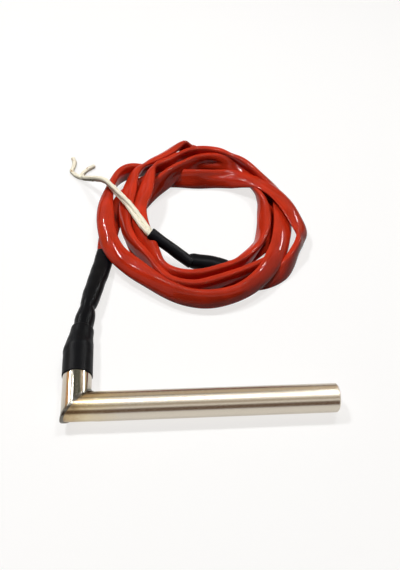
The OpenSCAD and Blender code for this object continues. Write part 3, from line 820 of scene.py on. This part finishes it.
class HEATER_OT_stage(bpy.types.Operator):
    """Sets the floor, the lamps and the camera"""
    bl_idname = "heater.stage"
    bl_label = "Stage"

    def execute(self, context):
        self.floor()
        self.lamps()
        self.camera()
        return {"FINISHED"}

    def floor(self):
        """A round level sheet with an upright rim, which shows white to the camera and keeps part of the
        shadow."""
        radius, height, count = FLOOR
        mesh = bpy.data.meshes.new("floor")
        turn = around(count)
        edge = np.stack([radius * np.cos(turn), radius * np.sin(turn), np.zeros(count)], axis=1)
        corners = np.concatenate([edge, edge + np.array([0.0, 0.0, height])])
        near = np.arange(count)
        after = np.roll(near, -1)
        rim = np.stack([near, near + count, after + count, after], axis=1)
        mesh.from_pydata(corners.tolist(), [], [near.tolist()] + rim.tolist())
        floor = bpy.data.objects.new("floor", mesh)
        bpy.context.scene.collection.objects.link(floor)
        white = tuple(colours().floor)
        finish = new_finish("white_floor", white, 0.9, specular_ior_level=0.0,
                            emission_color=(1.0, 0.98, 0.96, 1.0))
        rays = node(finish, "ShaderNodeLightPath")
        shown = rays.outputs["Is Camera Ray"]
        for kind in ("Is Glossy Ray", "Is Transmission Ray"):
            either = node(finish, "ShaderNodeMath", operation="MAXIMUM")
            link(finish, shown, either.inputs[0])
            link(finish, rays.outputs[kind], either.inputs[1])
            shown = either.outputs["Value"]
        dim = node(finish, "ShaderNodeMath", operation="MULTIPLY")
        dim.inputs[1].default_value = FLOOR_GLOW
        link(finish, shown, dim.inputs[0])
        level = node(finish, "ShaderNodeMath", operation="MULTIPLY_ADD")
        level.inputs[1].default_value = CAMERA_GLOW
        link(finish, rays.outputs["Is Camera Ray"], level.inputs[0])
        link(finish, dim.outputs["Value"], level.inputs[2])
        link(finish, level.outputs["Value"], shader_of(finish).inputs["Emission Strength"])
        tint = ramp(finish, shown, [(0.0, shade(white, FLOOR_UNSEEN)), (1.0, shade(white, FLOOR_SEEN))])
        link(finish, tint, shader_of(finish).inputs["Base Color"])
        mesh.materials.append(finish)

    def lamp(self, name, place, aim, length, width, power, in_gloss):
        """An area lamp at a place that faces a point, for the gloss or else for the flat colour."""
        data = bpy.data.lights.new(name, "AREA")
        data.shape = "RECTANGLE"
        data.size = length
        data.size_y = width
        data.energy = power
        lamp = bpy.data.objects.new(name, data)
        lamp.visible_glossy = in_gloss
        lamp.visible_diffuse = not in_gloss
        back = np.array(place, float) - np.array(aim, float)
        back /= np.linalg.norm(back)
        lamp.matrix_world = frame_matrix(back, place)
        bpy.context.scene.collection.objects.link(lamp)

    def card(self, name, place, aim, width, height, colour):
        """A glowing sheet that faces a point and shows in gloss only."""
        mesh = bpy.data.meshes.new(name)
        signs = np.array([[-1, -1, 0], [1, -1, 0], [1, 1, 0], [-1, 1, 0]])
        corners = signs * np.array([width, height, 0]) / 2
        mesh.from_pydata(corners.tolist(), [], [(0, 1, 2, 3)])
        finish = bpy.data.materials.new(name)
        finish.use_nodes = True
        glow = node(finish, "ShaderNodeEmission", color=(*colour, 1.0), strength=1.0)
        link(finish, glow.outputs["Emission"], finish.node_tree.nodes["Material Output"].inputs["Surface"])
        mesh.materials.append(finish)
        card = bpy.data.objects.new(name, mesh)
        back = np.array(aim, float) - np.array(place, float)
        card.matrix_world = frame_matrix(back / np.linalg.norm(back), place)
        card.visible_camera = False
        card.visible_diffuse = False
        card.visible_shadow = False
        bpy.context.scene.collection.objects.link(card)

    def lamps(self):
        """Lamps for the flat colours, strips and cards for the gloss, and a dim brown world."""
        aim = on_table(LAMP_AIM)
        for name, x, y, z, size, power in LAMPS:
            self.lamp(name, aim + np.array([x, y, z]), aim, size, size, power, False)
        for name, x, y, z, length, width, power in STRIPS:
            self.lamp(name, aim + np.array([x, y, z]), aim, length, width, power, True)
        middle = on_table(CARD_AIM)
        for name, side, turn, width, height, colour in CARDS:
            lean = math.radians(turn)
            way = np.array([side, -math.sin(lean), math.cos(lean)])
            self.card(name, middle + way, middle, width, height, colour)
        world = bpy.data.worlds.new("studio")
        bpy.context.scene.world = world
        world.use_nodes = True
        sky = world.node_tree.nodes["Background"]
        sky.inputs["Color"].default_value = (0.92, 0.80, 0.68, 1.0)
        sky.inputs["Strength"].default_value = 0.025

    def camera(self):
        """A camera that looks down at the coil from the sheath's side, slightly rolled."""
        rise, yaw, roll = 0.822, -0.1533, 0.0937
        distance = 0.4472628
        target = on_table([74.4812, 93.4424, 0.5])
        back = np.array([math.sin(yaw) * math.cos(rise), -math.cos(yaw) * math.cos(rise), math.sin(rise)])
        data = bpy.data.cameras.new("camera")
        data.sensor_fit = "HORIZONTAL"
        data.sensor_width = 36.0
        data.lens = 63.0
        data.clip_start = 0.01
        camera = bpy.data.objects.new("camera", data)
        right = (math.cos(yaw), math.sin(yaw), 0.0)
        camera.matrix_world = frame_matrix(back, target + back * distance, right, roll)
        bpy.context.scene.collection.objects.link(camera)
        bpy.context.scene.camera = camera


def frame_matrix(back, place, right=None, roll=0.0):
    """A matrix whose third axis is back, whose first is level or given, turned by roll, at a place."""
    back = np.asarray(back, float)
    if right is None:
        right = np.cross((0.0, 1.0, 0.0) if abs(back[2]) > 0.99 else UP, back)
    right = np.asarray(right, float) / np.linalg.norm(right)
    over = np.cross(back, right)
    first = right * math.cos(roll) + over * math.sin(roll)
    second = over * math.cos(roll) - right * math.sin(roll)
    columns = np.stack([first, second, back, np.asarray(place, float)], 1)
    return Matrix(np.vstack((columns, [0.0, 0.0, 0.0, 1.0])).tolist())


class HEATER_PT_panel(bpy.types.Panel):
    """Lists the steps that dress the heater"""
    bl_label = "Cartridge Heater"
    bl_idname = "HEATER_PT_panel"
    bl_space_type = "VIEW_3D"
    bl_region_type = "UI"
    bl_category = "Heater"

    def draw(self, context):
        for step in STEPS:
            self.layout.operator(step.bl_idname)
        for group in (context.scene.heater_sizes, context.scene.heater_colours):
            for name in group.bl_rna.properties.keys()[2:]:
                self.layout.prop(group, name)


STEPS = (HEATER_OT_steel, HEATER_OT_inside, HEATER_OT_shrink_tubes, HEATER_OT_end_shrinks,
         HEATER_OT_red_sleeve, HEATER_OT_lead_wires, HEATER_OT_stage)
CLASSES = (HeaterSizes, HeaterColours) + STEPS + (HEATER_PT_panel,)


def register():
    """Registers the classes and hangs the settings on the scene."""
    for cls in CLASSES:
        bpy.utils.register_class(cls)
    bpy.types.Scene.heater_sizes = bpy.props.PointerProperty(type=HeaterSizes)
    bpy.types.Scene.heater_colours = bpy.props.PointerProperty(type=HeaterColours)


def unregister():
    """Takes the settings and the classes away again."""
    del bpy.types.Scene.heater_colours
    del bpy.types.Scene.heater_sizes
    for cls in reversed(CLASSES):
        bpy.utils.unregister_class(cls)


def main():
    """Dresses the heater step by step."""
    register()
    bpy.context.scene.view_settings.view_transform = "Standard"
    bpy.ops.heater.steel()
    bpy.ops.heater.inside()
    bpy.ops.heater.shrink_tubes()
    bpy.ops.heater.end_shrinks()
    bpy.ops.heater.red_sleeve()
    bpy.ops.heater.lead_wires()
    bpy.ops.heater.stage()


if __name__ == "__main__":
    main()
